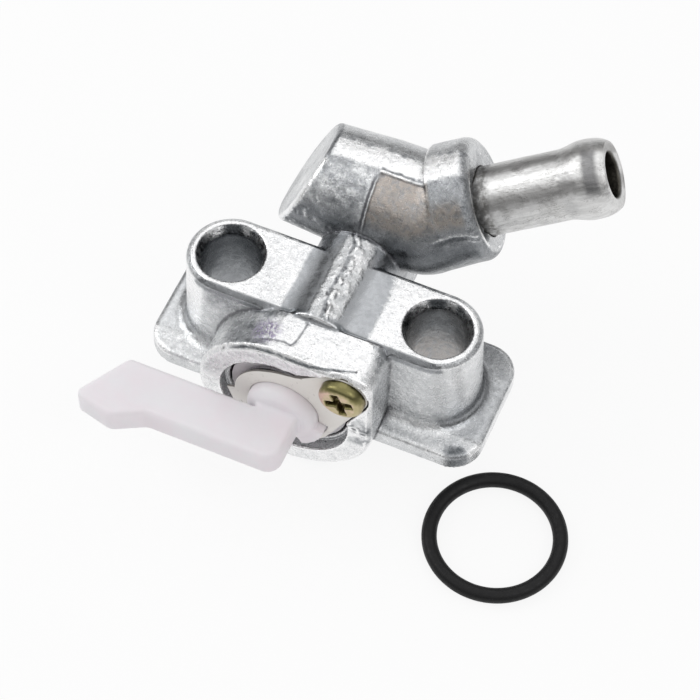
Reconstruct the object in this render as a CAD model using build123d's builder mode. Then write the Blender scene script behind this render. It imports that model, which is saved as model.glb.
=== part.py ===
from build123d import *
from math import atan2, cos, degrees, radians, sin, tan
import os

# Fuel tap: a die-cast body that bolts under a tank by two ears, a rotary valve worked by a nylon
# lever in the round chamber at the front, and a steel hose tail at the back. Millimetres.
# Origin: midway between the two bolt holes on the flange's bolting face. X runs from ear to ear,
# Y from the lever to the outlet, Z out of the ears.

# Flange and ears
HOLE_SPACING = 34.0
HOLE_R = 4.6
HOLE_ENTRY = 0.8
HOLE_ENTRY_DEPTH = 1.9
EAR_R = 6.85
EAR_TOP = 19.3
EAR_DRAFT = 2.2
EAR_LIP = 0.8
FLANGE_LENGTH = 55.3
FLANGE_WIDTH = 22.2
FLANGE_T = 3.0
FLANGE_CORNER = 5.0
FLANGE_EDGE = 0.9
FOOT_FILLET = 2.0

# Valve chamber, whose axis runs along Y
AXIS_X = -2.1
CAVITY_R = 9.9
MOUTH_STEP = 0.7
MOUTH_DEPTH = 2.0
CHAMBER_WALL = 3.8
CHAMBER_FRONT = -14.2
CHAMBER_CORNER = 3.0
CHAMBER_EDGE = 0.7
BACK_WALL = 1.2
TOP_SKIN = 0.3

# Stack inside the chamber, from the front
PLATE_T = 1.0
PLATE_RECESS = 0.2
WASHER_GAP = 0.8
WASHER_T = 0.35
WASHER_WIDTH = 1.6
WASHER_SIDE_GAP = 0.4
ROTOR_T = 2.8
ROTOR_LIP = 3.9
GASKET_T = 1.6
FLAT_GAP = 0.05
RUNNING_GAP = 0.05
SIDE_GAP = 0.3
GASKET_SIDE_GAP = 0.1
KEY_R = 1.0
KEY_GAP = 0.1

# Fuel passages
PORT_R = 2.25
PORT_RIM = 0.95
OUTLET_X = 0.0
INLET_R = 3.5
BARB_BORE_R = 3.4

# Spigot with the seat of the sealing ring
SHOULDER_R = 11.1
SHOULDER_DEPTH = 6.6
SPIGOT_R = 8.9
SPIGOT_LENGTH = 2.4
SPIGOT_CHAMFER = 0.5
RING_ROOM = 2.9

# Passage rib and outlet block
RIB_R = 6.7
RIB_Z = 14.0
RIB_BLEND = 6.0
BLOCK_Y = 19.2
BLOCK_Z = 18.6
BLOCK_R = 9.4
BLOCK_DRAFT = 3.5
BLOCK_END_X = -13.0
BLOCK_END_TILT = 25.0
BLOCK_END_EDGE = 0.9
BEND_X = 7.3
OUTLET_AZIMUTH = 20.2
OUTLET_RISE = 24.6
COLLAR_STEP = 0.2
COLLAR_START = 3.4
COLLAR_END = 10.0
COLLAR_SHIFT = (0.55, 0.4)
COLLAR_EDGE = 1.8
ELBOW_DRAFT = 4.0

# Hose tail
BARB_R = 5.45
BARB_INSERT = 3.0
BARB_END = 30.3
BEAD_R = 6.15
BEAD_START = 23.0
BEAD_CREST = 25.3
BEAD_BLEND = 4.0
NOSE_R = 1.6
MOUTH_ROUND = 0.5
TAIL_CHAMFER = 0.4
COLLAR_GAP = 1.8
COLLAR_GAP_DEPTH = 1.0

# Lever
BOSS_FRONT = -16.3
BOSS_EDGE = 1.6
BLADE_T = 5.0
BLADE_BACK = -16.9
BLADE_FRONT = -24.8
BLADE_NEAR_REACH = 3.5
BLADE_ROOT = 1.4
BLADE_CORNER = 2.4
BLADE_EDGE = 0.8
TIP_SHOULDER_X = -26.6
TIP_X = -31.9
TIP_Y = -25.9
TIP_CORNER = 1.1
CATCH_START_X = -20.0
CATCH_CREST_X = -25.0
CATCH_CREST_Y = -27.5
CATCH_BLEND = 2.5
SWING = 90.0
LUG_REACH = 1.55
LUG_TOP_ANGLE = -10.0
LUG_SPAN = 50.0
LUG_FRONT = -15.6
LUG_STOP_GAP = 0.4
LUG_SIDE_GAP = 0.2
ROTOR_SLOT_DEPTH = 1.7

# Retainer plate and its screw
PLATE_RIM = 2.6
PLATE_EAR_R = 3.8
PLATE_TAB_ANGLE = 198.0
PLATE_TAB_WIDTH = 5.0
PLATE_TAB_REACH = 9.3
PLATE_CLEARANCE = 0.15
SCREW_ANGLE = 44.4
SCREW_WALL = 1.25
SCREW_R = 2.0
SCREW_LENGTH = 9.0
SCREW_HOLE_GAP = 0.2
HEAD_R = 3.6
HEAD_H = 2.0
HEAD_EDGE = 1.1
CROSS_WIDTH = 0.9
CROSS_SPAN = 4.2
CROSS_DEPTH = 1.3
CROSS_TURN = 20.0

# Sealing ring, taken off and lying beside the tap
RING_BORE_R = 8.9
RING_SECTION_R = 1.2
RING_X = 33.8
RING_Y = -15.1

# Places worked out from the sizes above
EAR_FOOT_R = EAR_R + (EAR_TOP - FLANGE_T) * tan(radians(EAR_DRAFT))
HOLE_ENTRY_ANGLE = degrees(atan2(HOLE_ENTRY, HOLE_ENTRY_DEPTH))
RIB_SHOULDER_X = (RIB_R**2 - (EAR_TOP - RIB_Z) ** 2) ** 0.5
FLOOR_Z = -(SHOULDER_DEPTH + SPIGOT_LENGTH)
MOUTH_R = CAVITY_R + MOUTH_STEP
CHAMBER_R = MOUTH_R + CHAMBER_WALL
AXIS_Z = FLOOR_Z + CHAMBER_R
ROTOR_R = CAVITY_R - SIDE_GAP
BOSS_R = ROTOR_R - ROTOR_LIP
WASHER_INNER_R = BOSS_R + WASHER_SIDE_GAP
WASHER_OUTER_R = WASHER_INNER_R + WASHER_WIDTH
LUG_R = BOSS_R + LUG_REACH
PLATE_R = BOSS_R + PLATE_RIM
PORT_PITCH_R = CAVITY_R - PORT_RIM - PORT_R
CHAMBER_TOP = EAR_TOP + TOP_SKIN
COLLAR_R = BLOCK_R + COLLAR_STEP
PLATE_FRONT = CHAMBER_FRONT + PLATE_RECESS
PLATE_BACK = PLATE_FRONT + PLATE_T
ROTOR_FRONT = PLATE_BACK + WASHER_GAP
ROTOR_BACK = ROTOR_FRONT + ROTOR_T
GASKET_FRONT = ROTOR_BACK + FLAT_GAP
CAVITY_FLOOR = GASKET_FRONT + GASKET_T
CHAMBER_BACK = CAVITY_FLOOR + BACK_WALL
PORT_X = OUTLET_X - AXIS_X
PORT_RISE = (PORT_PITCH_R**2 - PORT_X**2) ** 0.5
PORT_ANGLE = degrees(atan2(PORT_RISE, PORT_X))
SCREW_DISTANCE = MOUTH_R + SCREW_WALL + SCREW_R
SCREW_X = AXIS_X + SCREW_DISTANCE * cos(radians(SCREW_ANGLE))
SCREW_Z = AXIS_Z + SCREW_DISTANCE * sin(radians(SCREW_ANGLE))
OUTLET_PORT_Z = AXIS_Z + PORT_RISE
INLET_PORT_Z = AXIS_Z - PORT_RISE

BEND = Vector(BEND_X, BLOCK_Y, BLOCK_Z)
OUTLET_DIRECTION = Vector(
    cos(radians(OUTLET_RISE)) * cos(radians(OUTLET_AZIMUTH)),
    cos(radians(OUTLET_RISE)) * sin(radians(OUTLET_AZIMUTH)),
    sin(radians(OUTLET_RISE)),
)
OUTLET_SIDE = Vector(-sin(radians(OUTLET_AZIMUTH)), cos(radians(OUTLET_AZIMUTH)), 0)
OUTLET_BORE_START = -(BEND_X - OUTLET_X) / OUTLET_DIRECTION.X - BARB_BORE_R


def across(y, x=AXIS_X, z=AXIS_Z):
    """A plane facing the front, at depth y, with its origin on the valve's axis."""
    return Plane(origin=(x, y, z), x_dir=(1, 0, 0), z_dir=(0, -1, 0))


def outlet_plane(distance):
    """A plane square to the hose tail, at a distance along it from the bend."""
    return Plane(origin=BEND + OUTLET_DIRECTION * distance, x_dir=OUTLET_SIDE, z_dir=OUTLET_DIRECTION)


def sector(inner, outer, start, span):
    """A ring sector about the sketch's origin, as a face."""
    with BuildSketch(mode=Mode.PRIVATE) as face:
        with BuildLine():
            out = CenterArc((0, 0), outer, start, span)
            back = CenterArc((0, 0), inner, start, span)
            Line(out @ 0, back @ 0)
            Line(out @ 1, back @ 1)
        make_face()
    return face.sketch


# Outlet block: a drafted barrel with a slanted end, an elbow and the collar that holds the tail
with BuildPart() as outlet_block:
    with BuildSketch(Plane(origin=(0, BLOCK_Y, BLOCK_Z), x_dir=(0, 1, 0), z_dir=(-1, 0, 0))):
        Circle(BLOCK_R)
    extrude(amount=-BLOCK_END_X + BLOCK_R, taper=BLOCK_DRAFT)
    end_plane = Plane(
        origin=(BLOCK_END_X, BLOCK_Y, BLOCK_Z),
        z_dir=(-cos(radians(BLOCK_END_TILT)), 0, sin(radians(BLOCK_END_TILT))),
    )
    split(bisect_by=end_plane, keep=Keep.BOTTOM)
    fillet(edges().sort_by(Axis.X)[0], BLOCK_END_EDGE)
    with BuildSketch(Plane(origin=(0, BLOCK_Y, BLOCK_Z), z_dir=(1, 0, 0))):
        Circle(BLOCK_R)
    extrude(amount=BEND_X)
    with Locations(BEND):
        Sphere(BLOCK_R)
    with BuildSketch(outlet_plane(0)):
        Circle(BLOCK_R)
    extrude(amount=COLLAR_END - COLLAR_EDGE, taper=ELBOW_DRAFT)
    with BuildSketch(outlet_plane(COLLAR_START)):
        with Locations(COLLAR_SHIFT):
            Circle(COLLAR_R)
    extrude(amount=COLLAR_END - COLLAR_START)
    fillet(edges().filter_by(GeomType.CIRCLE).sort_by(Axis(BEND, OUTLET_DIRECTION))[-1], COLLAR_EDGE)


# Chamber barrel, flat on top and squared off towards the screw, with its front edge eased
with BuildPart() as chamber:
    with BuildSketch(across(CHAMBER_FRONT)):
        Circle(CHAMBER_R)
        with Locations((CHAMBER_R / 2, CHAMBER_R / 2)):
            Rectangle(CHAMBER_R, CHAMBER_R)
        with Locations((0, CHAMBER_TOP - AXIS_Z + CHAMBER_R)):
            Rectangle(4 * CHAMBER_R, 2 * CHAMBER_R, mode=Mode.SUBTRACT)
        fillet(vertices().sort_by(lambda v: v.X + v.Y)[-1], CHAMBER_CORNER)
    extrude(amount=CHAMBER_FRONT - CHAMBER_BACK)
    chamfer(edges().group_by(Axis.Y)[0], CHAMBER_EDGE)


def plate_outline(clearance):
    """The retainer plate's outline, grown by a clearance: disc, ear and tab."""
    with BuildSketch(mode=Mode.PRIVATE) as outline:
        Circle(PLATE_R + clearance)
        with PolarLocations(SCREW_DISTANCE, 1, SCREW_ANGLE):
            Circle(PLATE_EAR_R + clearance)
        make_hull()
        with PolarLocations(PLATE_TAB_REACH / 2, 1, PLATE_TAB_ANGLE):
            Rectangle(PLATE_TAB_REACH + 2 * clearance, PLATE_TAB_WIDTH + 2 * clearance)
    return outline.sketch


def on_ear_foot(edge):
    """Whether an edge runs round the foot of the ears, on the flange's upper face."""
    return all(
        abs(v.Z - FLANGE_T) < FLAT_GAP
        and abs(v.X) < HOLE_SPACING / 2 + EAR_FOOT_R + FLAT_GAP
        and abs(v.Y) < EAR_FOOT_R + FLAT_GAP
        for v in edge.vertices()
    )


def on_rib_shoulder(edge):
    """Whether an edge lies where the rib comes out of the ears' tops."""
    middle = edge.center()
    return abs(abs(middle.X) - RIB_SHOULDER_X) < FLAT_GAP and abs(middle.Z - EAR_TOP) < FLAT_GAP


# Body casting
with BuildPart() as tap_body:
    # flange, with the ears standing on it as one drafted bar
    with BuildSketch():
        RectangleRounded(FLANGE_LENGTH, FLANGE_WIDTH, FLANGE_CORNER)
    extrude(amount=FLANGE_T)
    fillet(edges().group_by(Axis.Z)[-1], FLANGE_EDGE)
    with BuildSketch(Plane.XY.offset(FLANGE_T)):
        SlotCenterToCenter(HOLE_SPACING, 2 * EAR_FOOT_R)
    extrude(amount=EAR_TOP - FLANGE_T, taper=EAR_DRAFT)
    fillet(edges().filter_by(on_ear_foot), FOOT_FILLET)
    chamfer(edges().group_by(Axis.Z)[-1], EAR_LIP)

    # passage rib, from the chamber to the outlet block, blended into the ears' tops
    with BuildSketch(across(CHAMBER_BACK, OUTLET_X, RIB_Z)):
        Circle(RIB_R)
        with Locations((0, (FLANGE_T - RIB_Z) / 2)):
            Rectangle(2 * RIB_R, RIB_Z - FLANGE_T)
    extrude(amount=CHAMBER_BACK - BLOCK_Y)
    fillet(edges().filter_by(Axis.Y).filter_by(on_rib_shoulder), RIB_BLEND)

    # chamber and outlet block
    add(chamber.part)
    add(outlet_block.part)

    # shoulder under the flange, room for the sealing ring round it, and the spigot
    with BuildSketch():
        Circle(SHOULDER_R)
    extrude(amount=-SHOULDER_DEPTH)
    with BuildSketch(Plane.XY.offset(-SHOULDER_DEPTH)):
        Circle(SPIGOT_R + RING_ROOM)
    extrude(amount=-2 * SPIGOT_LENGTH, mode=Mode.SUBTRACT)
    with BuildSketch(Plane.XY.offset(-SHOULDER_DEPTH)):
        Circle(SPIGOT_R)
    extrude(amount=-SPIGOT_LENGTH)
    spigot_end = edges().filter_by(GeomType.CIRCLE).sort_by(Axis.Z)[0]
    chamfer(spigot_end, SPIGOT_CHAMFER)

    # bolt holes through the ears
    with BuildSketch(Plane.XY.offset(EAR_TOP)):
        with GridLocations(HOLE_SPACING, 0, 2, 1):
            Circle(HOLE_R)
    extrude(amount=-EAR_TOP, mode=Mode.SUBTRACT)
    with BuildSketch(Plane.XY.offset(EAR_TOP)):
        with GridLocations(HOLE_SPACING, 0, 2, 1):
            Circle(HOLE_R + HOLE_ENTRY)
    extrude(amount=-HOLE_ENTRY_DEPTH, taper=HOLE_ENTRY_ANGLE, mode=Mode.SUBTRACT)

    # valve cavity, its wider mouth, the seat of the retainer plate and the screw's hole
    with BuildSketch(across(CAVITY_FLOOR)):
        Circle(CAVITY_R)
    extrude(amount=CAVITY_FLOOR - CHAMBER_FRONT, mode=Mode.SUBTRACT)
    with BuildSketch(across(CHAMBER_FRONT)):
        Circle(MOUTH_R)
    extrude(amount=-MOUTH_DEPTH, mode=Mode.SUBTRACT)
    with BuildSketch(across(CHAMBER_FRONT)):
        add(plate_outline(PLATE_CLEARANCE))
    extrude(amount=CHAMBER_FRONT - PLATE_BACK, mode=Mode.SUBTRACT)
    with BuildSketch(across(PLATE_BACK, SCREW_X, SCREW_Z)):
        Circle(SCREW_R)
    extrude(amount=-SCREW_LENGTH, mode=Mode.SUBTRACT)
    # key that keeps the gasket from turning
    with BuildSketch(across(CAVITY_FLOOR)):
        with Locations((0, -CAVITY_R)):
            Circle(KEY_R)
    extrude(amount=GASKET_T)

    # inlet: a port in the cavity's floor and the bore up the spigot that it opens into
    with BuildSketch(across(CAVITY_FLOOR, OUTLET_X, INLET_PORT_Z)):
        Circle(PORT_R)
    extrude(amount=CAVITY_FLOOR, mode=Mode.SUBTRACT)
    with BuildSketch(Plane.XY.offset(INLET_PORT_Z + PORT_R)):
        Circle(INLET_R)
    extrude(amount=FLOOR_Z - INLET_PORT_Z - PORT_R, mode=Mode.SUBTRACT)

    # outlet: a port along the rib, the bore behind the hose tail and the tail's seat
    with BuildSketch(across(CAVITY_FLOOR, OUTLET_X, OUTLET_PORT_Z)):
        Circle(PORT_R)
    extrude(amount=CAVITY_FLOOR - BLOCK_Y, mode=Mode.SUBTRACT)
    with BuildSketch(outlet_plane(OUTLET_BORE_START)):
        Circle(BARB_BORE_R)
    extrude(amount=COLLAR_END - OUTLET_BORE_START, mode=Mode.SUBTRACT)
    with BuildSketch(outlet_plane(BARB_INSERT)):
        Circle(BARB_R)
    extrude(amount=BARB_END - BARB_INSERT, mode=Mode.SUBTRACT)
    with BuildSketch(outlet_plane(COLLAR_END)):
        Circle(BARB_R + COLLAR_GAP)
    extrude(amount=-COLLAR_GAP_DEPTH, mode=Mode.SUBTRACT)

# Rubber gasket on the cavity's floor, with a hole for each port and a notch for the key
with BuildPart() as port_gasket:
    with BuildSketch(across(GASKET_FRONT)):
        Circle(CAVITY_R - GASKET_SIDE_GAP)
        with Locations((PORT_X, PORT_RISE), (PORT_X, -PORT_RISE)):
            Circle(PORT_R, mode=Mode.SUBTRACT)
        with Locations((0, -CAVITY_R)):
            Circle(KEY_R + KEY_GAP, mode=Mode.SUBTRACT)
    extrude(amount=-GASKET_T)

# Blade of the lever: flat, with a slanted tip and a finger catch on its outer edge
with BuildPart() as blade:
    with BuildSketch(Plane.XY.offset(AXIS_Z - BLADE_T / 2)):
        with BuildLine():
            FilletPolyline(
                (AXIS_X + BLADE_NEAR_REACH, BLADE_BACK + BLADE_ROOT),
                (AXIS_X + BLADE_NEAR_REACH, BLADE_FRONT),
                (CATCH_START_X, BLADE_FRONT),
                (CATCH_CREST_X, CATCH_CREST_Y),
                (TIP_X, TIP_Y),
                (TIP_SHOULDER_X, BLADE_BACK),
                (AXIS_X - BLADE_NEAR_REACH, BLADE_BACK),
                (AXIS_X - BLADE_NEAR_REACH, BLADE_BACK + BLADE_ROOT),
                radius=(0, BLADE_CORNER, CATCH_BLEND, CATCH_BLEND, TIP_CORNER, TIP_CORNER, 0, 0),
                close=True,
            )
        make_face()
    extrude(amount=BLADE_T)
    fillet(edges().group_by(Axis.Z)[0] + edges().group_by(Axis.Z)[-1], BLADE_EDGE)

# Nylon lever: rotor disc, boss with its stop lug, and the blade, in one moulding
with BuildPart() as lever:
    with BuildSketch(across(ROTOR_FRONT)):
        Circle(ROTOR_R)
    extrude(amount=-ROTOR_T)
    with BuildSketch(across(ROTOR_FRONT)):
        Circle(BOSS_R)
    extrude(amount=ROTOR_FRONT - BOSS_FRONT)
    fillet(edges().group_by(Axis.Y)[0], BOSS_EDGE)
    with BuildSketch(across(PLATE_BACK)):
        add(sector(BOSS_R / 2, LUG_R, LUG_TOP_ANGLE - LUG_SPAN, LUG_SPAN))
    extrude(amount=PLATE_BACK - LUG_FRONT)
    add(blade.part)
    # curved slot that joins the two ports once the lever is turned along the ears
    with BuildSketch(across(ROTOR_BACK)):
        SlotArc(CenterArc((0, 0), PORT_PITCH_R, SWING - PORT_ANGLE, 2 * PORT_ANGLE), 2 * PORT_R)
    extrude(amount=ROTOR_SLOT_DEPTH, mode=Mode.SUBTRACT)

# Curved spring washer between the rotor and the plate
with BuildPart() as spring_washer:
    with BuildSketch(across(PLATE_BACK)):
        Circle(WASHER_OUTER_R)
        Circle(WASHER_INNER_R, mode=Mode.SUBTRACT)
    extrude(amount=-WASHER_GAP)
    with BuildSketch(Plane.XY.offset(AXIS_Z - WASHER_OUTER_R)):
        with BuildLine():
            crest = PLATE_BACK + FLAT_GAP
            heel = ROTOR_FRONT - FLAT_GAP
            left = AXIS_X - WASHER_OUTER_R
            right = AXIS_X + WASHER_OUTER_R
            ThreePointArc((left, heel - WASHER_T), (AXIS_X, crest), (right, heel - WASHER_T))
            Line((right, heel - WASHER_T), (right, heel))
            ThreePointArc((right, heel), (AXIS_X, crest + WASHER_T), (left, heel))
            Line((left, heel), (left, heel - WASHER_T))
        make_face()
    extrude(amount=2 * WASHER_OUTER_R, mode=Mode.INTERSECT)

# Retainer plate: pear-shaped, with a tab under the rim and a hole cut back to stop the lug
with BuildPart() as retainer_plate:
    with BuildSketch(across(PLATE_FRONT)):
        add(plate_outline(0))
        Circle(BOSS_R + RUNNING_GAP, mode=Mode.SUBTRACT)
        lug_low = LUG_TOP_ANGLE - LUG_SPAN - SWING - LUG_STOP_GAP
        lug_sweep = LUG_SPAN + SWING + 2 * LUG_STOP_GAP
        add(sector(BOSS_R / 2, LUG_R + LUG_SIDE_GAP, lug_low, lug_sweep), mode=Mode.SUBTRACT)
        with PolarLocations(SCREW_DISTANCE, 1, SCREW_ANGLE):
            Circle(SCREW_R + SCREW_HOLE_GAP, mode=Mode.SUBTRACT)
    extrude(amount=-PLATE_T)

# Pan-head screw with a cross recess
with BuildPart() as retainer_screw:
    with BuildSketch(across(PLATE_FRONT, SCREW_X, SCREW_Z)):
        Circle(HEAD_R)
    extrude(amount=HEAD_H)
    fillet(edges().group_by(Axis.Y)[0], HEAD_EDGE)
    with BuildSketch(across(PLATE_FRONT, SCREW_X, SCREW_Z)):
        Circle(SCREW_R)
    extrude(amount=-SCREW_LENGTH)
    with BuildSketch(across(PLATE_FRONT - HEAD_H, SCREW_X, SCREW_Z)):
        Rectangle(CROSS_SPAN, CROSS_WIDTH, rotation=CROSS_TURN)
        Rectangle(CROSS_WIDTH, CROSS_SPAN, rotation=CROSS_TURN)
    extrude(amount=-CROSS_DEPTH, mode=Mode.SUBTRACT)

# Steel hose tail, turned about its own axis, with a bead near its mouth
with BuildPart() as hose_tail:
    with BuildSketch(Plane(origin=BEND, x_dir=OUTLET_DIRECTION, z_dir=OUTLET_SIDE)):
        with BuildLine():
            FilletPolyline(
                (BARB_INSERT, BARB_BORE_R),
                (BARB_INSERT, BARB_R),
                (BEAD_START, BARB_R),
                (BEAD_CREST, BEAD_R),
                (BARB_END, BEAD_R),
                (BARB_END, BARB_BORE_R),
                radius=(0, TAIL_CHAMFER, BEAD_BLEND, BEAD_BLEND, NOSE_R, MOUTH_ROUND),
                close=True,
            )
        make_face()
    revolve(axis=Axis(BEND, OUTLET_DIRECTION))

# Rubber sealing ring, taken off the spigot and lying beside the tap
with BuildPart() as sealing_ring:
    with Locations((RING_X, RING_Y, FLOOR_Z + RING_SECTION_R)):
        Torus(RING_BORE_R + RING_SECTION_R, RING_SECTION_R)

os.makedirs("parts", exist_ok=True)
pieces = {
    "tap_body": tap_body,
    "port_gasket": port_gasket,
    "lever": lever,
    "spring_washer": spring_washer,
    "retainer_plate": retainer_plate,
    "retainer_screw": retainer_screw,
    "hose_tail": hose_tail,
    "sealing_ring": sealing_ring,
}
for name, piece in pieces.items():
    piece.part.label = name
    export_step(piece.part, f"parts/{name}.step")
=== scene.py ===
import logging
import math
from dataclasses import dataclass, field
from enum import Enum

import bmesh
import bpy
import numpy as np
from bpy.types import Material, Mesh, Node, NodeSocket, NodeTree, Object
from mathutils import Matrix, Vector


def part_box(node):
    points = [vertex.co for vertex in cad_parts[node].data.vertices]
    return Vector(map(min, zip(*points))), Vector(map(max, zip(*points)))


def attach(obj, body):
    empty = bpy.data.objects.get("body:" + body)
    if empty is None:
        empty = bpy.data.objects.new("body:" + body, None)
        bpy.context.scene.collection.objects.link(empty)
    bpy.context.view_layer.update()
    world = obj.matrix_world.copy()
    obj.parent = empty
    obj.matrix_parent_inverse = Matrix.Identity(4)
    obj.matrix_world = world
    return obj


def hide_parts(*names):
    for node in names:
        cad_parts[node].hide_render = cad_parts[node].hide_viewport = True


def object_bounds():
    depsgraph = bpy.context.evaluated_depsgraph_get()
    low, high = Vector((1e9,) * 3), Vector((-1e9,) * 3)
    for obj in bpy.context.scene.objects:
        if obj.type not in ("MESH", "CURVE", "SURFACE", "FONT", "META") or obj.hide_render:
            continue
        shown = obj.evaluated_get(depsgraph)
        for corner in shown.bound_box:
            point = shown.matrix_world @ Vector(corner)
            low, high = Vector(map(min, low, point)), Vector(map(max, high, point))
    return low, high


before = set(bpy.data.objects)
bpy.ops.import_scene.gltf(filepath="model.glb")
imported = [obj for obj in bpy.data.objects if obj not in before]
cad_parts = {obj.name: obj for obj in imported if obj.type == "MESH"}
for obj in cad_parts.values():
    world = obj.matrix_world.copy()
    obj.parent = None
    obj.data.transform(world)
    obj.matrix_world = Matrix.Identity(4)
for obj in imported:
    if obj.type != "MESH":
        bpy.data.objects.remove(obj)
CAD_BOX = [list(corner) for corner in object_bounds()]

log = logging.getLogger("fuel_tap")
MM = 0.001
Array = np.ndarray
Vec = tuple[float, float, float]
Colour = tuple[float, float, float]
Pair = tuple[float, float]
Line = tuple[Pair, ...]
Inputs = dict[str | int, object]
WHITE: Colour = (1.0, 1.0, 1.0)
RAYS = ("Camera", "Glossy", "Transmission")

# The start of the outlet's axis, its turn from X and its rise, and the chamber's axis in X and Z,
# in millimetres and degrees.
BEND: Vec = (7.3, 19.2, 18.6)
TAIL_AZIMUTH = 20.2
TAIL_RISE = 24.6
VALVE: Pair = (-2.1, 5.4)


class Slot(Enum):
    """The record's material slots."""

    CASTING = "casting"
    NYLON = "nylon"
    PLATE = "plate"
    ZINC = "yellow_zinc"
    STEEL = "bright_steel"
    RING = "ring_rubber"


class Body(Enum):
    """The two bodies of the tap."""

    TAP = "root"
    LEVER = "lever"


class Graph:
    """A node tree, with short calls for the nodes that the finishes and the studio use."""

    def __init__(self, tree: NodeTree) -> None:
        """Keeps the tree."""
        self.tree = tree

    def put(self, value: object, target: NodeSocket) -> None:
        """Links a socket, or sets a constant.

        Args:
            value: a socket, a number or a colour.
            target: the input that takes it.
        """
        if isinstance(value, NodeSocket):
            self.tree.links.new(value, target)
        elif isinstance(value, tuple) and len(value) == 3 and target.type == "RGBA":
            target.default_value = (*value, 1.0)
        else:
            target.default_value = value

    def fill(self, node: Node, inputs: Inputs) -> Node:
        """Puts values or sockets on a node's named or numbered inputs, and returns the node."""
        for key, value in inputs.items():
            self.put(value, node.inputs[key])
        return node

    def add(self, kind: str, inputs: Inputs | None = None, **settings: object) -> Node:
        """Adds a node.

        Args:
            kind: its type, without ShaderNode.
            inputs: a value or a socket for each named or numbered input.
            settings: the node's own properties, set before its inputs.

        Returns:
            The node.
        """
        node = self.tree.nodes.new(f"ShaderNode{kind}")
        for name, value in settings.items():
            setattr(node, name, value)
        return self.fill(node, inputs or {})

    def scaled(self, vector: NodeSocket, factor: float) -> NodeSocket:
        """Returns a vector times a number."""
        return self.add("VectorMath", {0: vector, "Scale": factor}, operation="SCALE").outputs[0]

    def mapped(self, vector: NodeSocket, turn: Vec = (0, 0, 0), scale: Vec = (1, 1, 1),
               shift: Vec = (0, 0, 0)) -> NodeSocket:
        """Returns a vector through a Mapping node, which turns by radians."""
        inputs = {"Vector": vector, "Rotation": turn, "Scale": scale, "Location": shift}
        return self.add("Mapping", inputs).outputs[0]

    def noise(self, vector: NodeSocket, scale: float, detail: float = 3.0, rough: float = 0.55,
              twist: float = 0.0) -> NodeSocket:
        """Returns a Noise texture's factor, with so many features to a unit of the vector."""
        inputs = {"Vector": vector, "Scale": scale, "Detail": detail, "Roughness": rough}
        return self.add("TexNoise", {**inputs, "Distortion": twist}).outputs["Fac"]

    def band(self, value: NodeSocket, low: float, high: float, to_low: float = 0.0,
             to_high: float = 1.0) -> NodeSocket:
        """Returns a value mapped smoothly from one range to another, and clamped to it.

        Args:
            value: the number that is mapped.
            low: where the band starts, which may be the higher of its two ends.
            high: where it ends.
            to_low: the result at the start.
            to_high: the result at the end.

        Returns:
            The mapped number.
        """
        inputs = {"Value": value, "From Min": low, "From Max": high, "To Min": to_low,
                  "To Max": to_high}
        return self.add("MapRange", inputs, interpolation_type="SMOOTHSTEP").outputs["Result"]

    def maths(self, operation: str, a: object, b: object = 0.0) -> NodeSocket:
        """Returns a Math node's result for two numbers or sockets."""
        return self.add("Math", {0: a, 1: b}, operation=operation).outputs[0]

    def chain(self, operation: str, *values: object) -> NodeSocket:
        """Returns several numbers joined by one operation, from the first on."""
        result = values[0]
        for value in values[1:]:
            result = self.maths(operation, result, value)
        return result

    def product(self, *values: object) -> NodeSocket:
        """Returns the product of several numbers."""
        return self.chain("MULTIPLY", *values)

    def total(self, *values: object) -> NodeSocket:
        """Returns the sum of several numbers."""
        return self.chain("ADD", *values)

    def swing(self, noise: NodeSocket, *factors: object) -> NodeSocket:
        """Returns a noise as a swing about 0, times several numbers."""
        return self.product(self.maths("SUBTRACT", noise, 0.5), *factors)

    def near(self, value: NodeSocket, middle: float, reach: float, full: float = 0.0) -> NodeSocket:
        """Returns 1 up to a full distance from a middle, falling to 0 at its reach."""
        away = self.maths("ABSOLUTE", self.maths("SUBTRACT", value, middle))
        return self.band(away, reach, full)

    def mix(self, share: object, a: object, b: object) -> NodeSocket:
        """Returns a colour between two others, by a share of the second from 0 to 1."""
        return self.add("Mix", {"Factor": share, 6: a, 7: b}, data_type="RGBA").outputs[2]

    def blend(self, share: object, a: Node, b: Node) -> NodeSocket:
        """Returns a shader between two others, by a share of the second from 0 to 1."""
        return self.add("MixShader", {0: share, 1: a.outputs[0], 2: b.outputs[0]}).outputs[0]

    def parts(self, vector: NodeSocket) -> tuple[NodeSocket, ...]:
        """Returns a vector's X, Y and Z."""
        return tuple(self.add("SeparateXYZ", {0: vector}).outputs)

    def seen(self) -> NodeSocket:
        """Returns 1 for the rays that show a surface: the camera's, reflected and let through."""
        rays = self.add("LightPath").outputs
        return self.chain("MAXIMUM", *(rays[f"Is {kind} Ray"] for kind in RAYS))


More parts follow.
